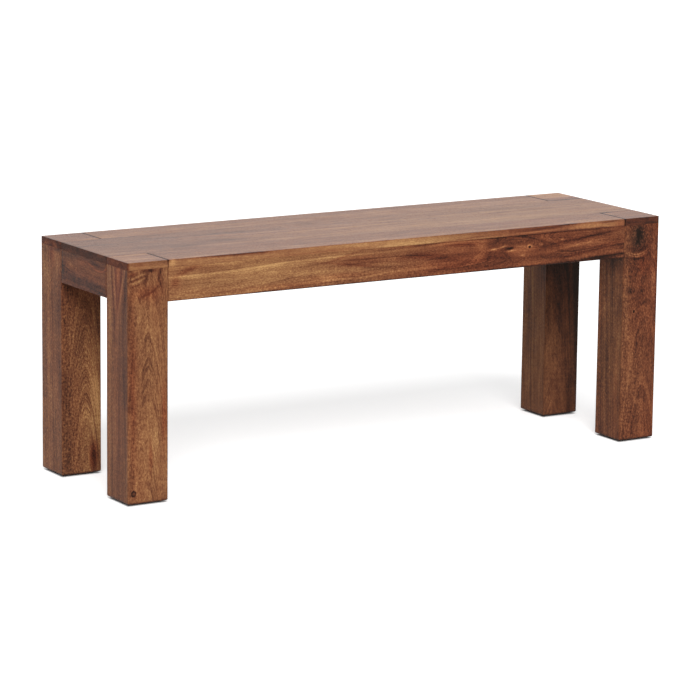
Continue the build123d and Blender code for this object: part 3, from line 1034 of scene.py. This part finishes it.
def turned(levels, sides, radius_at):
    """A closed shape about Z, with a ring of points at each level. Radius depends on level and angle."""
    points, faces = [], []
    angles = [2 * pi * n / sides for n in range(sides)]
    for level in levels:
        points += [(radius_at(level, a) * cos(a), radius_at(level, a) * sin(a), level) for a in angles]
    for ring in range(len(levels) - 1):
        for n in range(sides):
            low, high = ring * sides, (ring + 1) * sides
            after = (n + 1) % sides
            faces.append((low + n, low + after, high + after, high + n))
    faces.append(tuple(reversed(range(sides))))
    faces.append(tuple(range((len(levels) - 1) * sides, len(levels) * sides)))
    return points, faces


def turned_ring(sides, loop_at):
    """A closed ring about Z. Its section at each angle is a loop of (radius, height) points that goes
    round anticlockwise."""
    points, faces = [], []
    for n in range(sides):
        angle = 2 * pi * n / sides
        loop = loop_at(angle)
        points += [(radius * cos(angle), radius * sin(angle), height) for radius, height in loop]
    for n in range(sides):
        here, there = n * len(loop), (n + 1) % sides * len(loop)
        for i in range(len(loop)):
            j = (i + 1) % len(loop)
            faces.append((here + i, there + i, there + j, here + j))
    return points, faces


def thread(level, angle, pitch):
    """Height of a thread's tooth, from 0 in the root to 1 on the crest."""
    share = (level / pitch - angle / (2 * pi)) % 1.0
    return min(1.0, 1.5 * (1.0 - abs(2 * share - 1.0)))


def steps_between(low, high, size):
    count = max(1, ceil((high - low) / size))
    return [low + (high - low) * n / count for n in range(count + 1)]


def hanger_bolt():
    """A wood thread up to the neck, and a machine thread from the leg's face to the tail."""
    point, neck, tail = -0.05, -0.005, 0.0156
    tip_length, tip_radius, neck_radius, bolt_radius, chamfer = 0.008, 0.0008, 0.0039, 0.00395, 0.0008
    wood_core, wood_tooth, wood_pitch = 0.002, 0.00115, 0.003
    bolt_core, bolt_tooth, bolt_pitch = 0.0034, 0.00055, 0.00125

    def radius_at(level, angle):
        if level <= neck:
            taper = min(1.0, (level - point) / tip_length)
            core = tip_radius + wood_core * taper
            return core + wood_tooth * thread(level, angle, wood_pitch) * taper
        if level <= 0.0:
            return neck_radius
        outside = bolt_radius - max(0.0, level - tail + chamfer)
        return min(outside, bolt_core + bolt_tooth * thread(level, angle, bolt_pitch))

    levels = steps_between(point, neck, 0.0006) + steps_between(neck + 0.0005, 0.0, 0.0025)
    levels += steps_between(0.0003, tail - chamfer, 0.0003) + [tail - chamfer / 2, tail]
    return plain_mesh("hanger bolt", *turned(levels, 24, radius_at))


def wood_screw(length):
    """A pan-head screw with a crosshead, its head's underside at the origin."""
    dome = {0.0: 0.0041, 0.0009: 0.0042, 0.0014: 0.00405, 0.0019: 0.0036, 0.0023: 0.0028, 0.0026: 0.0012}
    tip_length, tip_radius = 0.004, 0.0002
    core, tooth, pitch = 0.0011, 0.00065, 0.0018

    def radius_at(level, angle):
        if level < 0:
            taper = min(1.0, (level + length) / tip_length)
            return tip_radius + core * taper + tooth * thread(level, angle, pitch) * taper
        return dome[level]

    levels = steps_between(-length, -0.0006, 0.00045) + list(dome)
    piece = put_in_scene("wood_screw", plain_mesh("wood screw", *turned(levels, 20, radius_at)))
    blade_half = 0.0004
    blades = []
    for turn in (0, 1):
        corners = []
        for height, long in ((0.0008, 0.0007), (0.003, 0.0023)):
            for a, b in ((-1, -1), (1, -1), (1, 1), (-1, 1)):
                flat = (a * long, b * blade_half)
                corners.append((*(flat if turn else flat[::-1]), height))
        faces = [(3, 2, 1, 0), (4, 5, 6, 7), (0, 1, 5, 4), (1, 2, 6, 5), (2, 3, 7, 6), (3, 0, 4, 7)]
        if not turn:
            faces = [tuple(reversed(face)) for face in faces]
        blades.append(put_in_scene("blade", plain_mesh("blade", corners, faces)))
        cut_with(piece, blades[-1], "DIFFERENCE")
    take_up(piece)
    made = piece.data
    for spare in (piece, *blades):
        bpy.data.objects.remove(spare)
    return made


def hex_nut():
    """A hexagon nut with its corners turned off on both faces."""
    half_flat, bore, low, high = 0.0065, 0.00405, 0.0041, 0.0106
    slope = sqrt(3)
    rise = (half_flat / cos(pi / 6) - half_flat) / slope
    levels = [low] + steps_between(low + rise / 3, low + rise, rise / 3)
    levels += steps_between(high - rise, high - rise / 3, rise / 3) + [high]

    def loop_at(angle):
        flat = half_flat / cos((angle + pi / 6) % (pi / 3) - pi / 6)
        outside = [(min(flat, half_flat + min(level - low, high - level) * slope), level) for level in levels]
        return outside + [(bore, high), (bore, low)]

    return plain_mesh("hex nut", *turned_ring(48, loop_at))


def washer():
    inner, outer, low, high, ease = 0.00405, 0.009, 0.0025, 0.0041, 0.00035
    loop = [
        (inner, low), (outer - ease, low), (outer, low + ease), (outer, high - ease), (outer - ease, high),
        (inner + ease, high), (inner, high - ease),
    ]
    return plain_mesh("washer", *turned_ring(48, lambda angle: loop))


def value_socket(sockets, name="Value"):
    """The one of a node's sockets of that name that carries a plain number."""
    return next(socket for socket in sockets if socket.name == name and socket.type == "VALUE")


def setting_out():
    """Sets a pattern at every point, along the point's own direction and turned at random about it."""
    inputs = [
        ("Geometry", "Places", None),
        ("Object", "Pattern", None),
        ("Float", "Loosest turn", 1.0),
        ("Int", "Seed", 1),
        ("Material", "Finish", None),
    ]
    outputs = [("Geometry", "Fasteners")]
    tree, given, made = group_tree("fasteners set out", "GeometryNodeTree", inputs, outputs)
    out = step(tree, "GeometryNodeInputNamedAttribute", {"Name": "out"}, data_type="FLOAT_VECTOR")
    aim = step(tree, "FunctionNodeAlignRotationToVector", {"Vector": out.outputs[0]}, axis="Z")
    pattern = step(tree, "GeometryNodeObjectInfo", {"Object": given["Pattern"]})
    values = {"Points": given["Places"], "Instance": pattern.outputs["Geometry"], "Rotation": aim.outputs[0]}
    placed = step(tree, "GeometryNodeInstanceOnPoints", values)
    chance = step(tree, "FunctionNodeRandomValue", {"Seed": given["Seed"]}, data_type="FLOAT")
    wire(tree, 0.0, value_socket(chance.inputs, "Min"))
    wire(tree, given["Loosest turn"], value_socket(chance.inputs, "Max"))
    turn = merge(tree, 0.0, 0.0, value_socket(chance.outputs))
    spun = step(tree, "GeometryNodeRotateInstances", {"Instances": placed.outputs[0], "Rotation": turn})
    real = step(tree, "GeometryNodeRealizeInstances", {"Geometry": spun.outputs[0]})
    values = {"Geometry": real.outputs[0], "Material": given["Finish"]}
    wire(tree, step(tree, "GeometryNodeSetMaterial", values).outputs[0], made["Fasteners"])
    return tree


fastener_tree = setting_out()


def set_out(node, pattern, places, finish, seed, loosest_turn=2 * pi):
    """One fastener at each (point, direction), in place of a CAD node."""
    mesh = plain_mesh(node + "_places", [point for point, direction in places], [])
    directions = mesh.attributes.new("out", "FLOAT_VECTOR", "POINT")
    for entry, (point, direction) in zip(directions.data, places):
        entry.vector = direction
    piece = put_in_scene(node + "_set", mesh)
    model = put_in_scene("pattern", pattern)
    layout = piece.modifiers.new("set out", "NODES")
    layout.node_group = fastener_tree
    values = {"Pattern": model, "Loosest turn": loosest_turn, "Seed": seed, "Finish": finish}
    for socket in fastener_tree.interface.items_tree:
        if socket.name in values:
            layout[socket.identifier] = values[socket.name]
    take_up(piece)
    dress(piece.data, finish)
    bpy.data.objects.remove(model)
    join_bench(piece, node)


plate_middle = 0.4095
pair_half = 0.014
leg_flat = 0.07  # middle of a leg's flat, from the bench's outer corner
rail_screw = 0.128  # a plate's screws, from the outer corner along the rail
rail_screw_level = 0.0245  # the plate's face on the rail, from the bench's outer face
cleat_screw_places = (0.051, 0.23225, 0.4135)
cleat_screw_y = 0.144
cleat_underside = 0.423

signs = [(x, y) for x in (-1, 1) for y in (-1, 1)]


def at_corners(inset_x, inset_y, along_x, along_y):
    """Two places, one above the other, at each corner, with the way to the bench's middle from there."""
    levels = (plate_middle - pair_half, plate_middle + pair_half)
    return [
        ((x * (half_length - inset_x), y * (half_depth - inset_y), z), (-x * along_x, -y * along_y, 0))
        for x, y in signs for z in levels
    ]


bolt_places = at_corners(leg_flat, leg_flat, 1, 1)
rail_screws = at_corners(rail_screw, rail_screw_level, 0, 1) + at_corners(rail_screw_level, rail_screw, 1, 0)
seat_screws = [
    ((x * place, y * cleat_screw_y, cleat_underside), (0, 0, -1))
    for x, y in signs for place in cleat_screw_places
]
set_out("leg_bolts", hanger_bolt(), bolt_places, bolt_zinc, 3)
set_out("leg_bolt_washers", washer(), bolt_places, bolt_zinc, 5)
set_out("leg_bolt_nuts", hex_nut(), bolt_places, bolt_zinc, 7)
set_out("corner_plate_screws", wood_screw(0.016), rail_screws, yellow_zinc, 11)
set_out("seat_screws", wood_screw(0.027), seat_screws, yellow_zinc, 13)


# Studio

def seen_directly(tree):
    """1 for rays from the camera, and for those that a gloss or a clear thing sends on."""
    path = step(tree, "ShaderNodeLightPath").outputs
    seen = number(tree, "MAXIMUM", path["Is Camera Ray"], path["Is Glossy Ray"])
    return number(tree, "MAXIMUM", seen, path["Is Transmission Ray"])


def light_world():
    world = bpy.data.worlds.new("studio")
    world.use_nodes = True
    tree = world.node_tree
    tree.nodes.clear()
    level = number(tree, "MULTIPLY_ADD", seen_directly(tree), 1.0 - sky_level, sky_level)
    background = step(tree, "ShaderNodeBackground", {"Color": (1, 1, 1, 1), "Strength": level})
    step(tree, "ShaderNodeOutputWorld", {"Surface": background.outputs[0]})
    scene.world = world


def lay_floor():
    corners = [(x * floor_half, y * floor_half, 0.0) for x, y in ((-1, -1), (1, -1), (1, 1), (-1, 1))]
    floor = put_in_scene("studio_floor", plain_mesh("studio floor", corners, [(0, 1, 2, 3)]))
    material, tree = empty_material("studio floor")
    seen = seen_directly(tree)
    paint = added(tree, seen, floor_paint - floor_bounce, floor_bounce)
    # No glow under each leg: a painted contact shadow
    place = split(tree, object_place(tree))
    away = []
    for axis, middle in enumerate(leg_middle):
        from_middle = number(tree, "SUBTRACT", number(tree, "ABSOLUTE", place[axis]), middle)
        away.append(number(tree, "ABSOLUTE", from_middle))
    away = number(tree, "MAXIMUM", *away)
    clear_of_legs = span(tree, away, leg_half - contact_fade, leg_half + contact_fade)
    glow = times(tree, clear_of_legs, floor_glow)
    surface_of(
        tree,
        Base_Color=merge(tree, paint, paint, paint),
        Roughness=1.0,
        Specular_IOR_Level=0.0,
        Emission_Color=(1, 1, 1, 1),
        Emission_Strength=times(tree, seen, glow),
    )
    dress(floor.data, material)


def hang_sun(name, level, spread, turn, drop):
    lamp = bpy.data.lights.new(name, "SUN")
    lamp.energy = level
    lamp.angle = spread
    hung = put_in_scene(name, lamp)
    hung.matrix_world = Matrix.Rotation(turn, 4, "Z") @ Matrix.Rotation(drop, 4, "X")


def set_camera():
    lens = bpy.data.cameras.new("camera")
    lens.lens = camera_lens
    lens.sensor_width = camera_sensor
    lens.clip_end = camera_reach
    camera = put_in_scene("camera", lens)
    yaw = Matrix.Rotation(-camera_yaw, 4, "Z")
    pitch = Matrix.Rotation(pi / 2 - camera_pitch, 4, "X")
    roll = Matrix.Rotation(camera_roll, 4, "Z")
    camera.matrix_world = Matrix.Translation(camera_place) @ yaw @ pitch @ roll
    scene.camera = camera


light_world()
lay_floor()
hang_sun("soft_key", key_level, key_spread, key_turn, key_drop)
hang_sun("soft_back", back_level, back_spread, back_turn, back_drop)
set_camera()
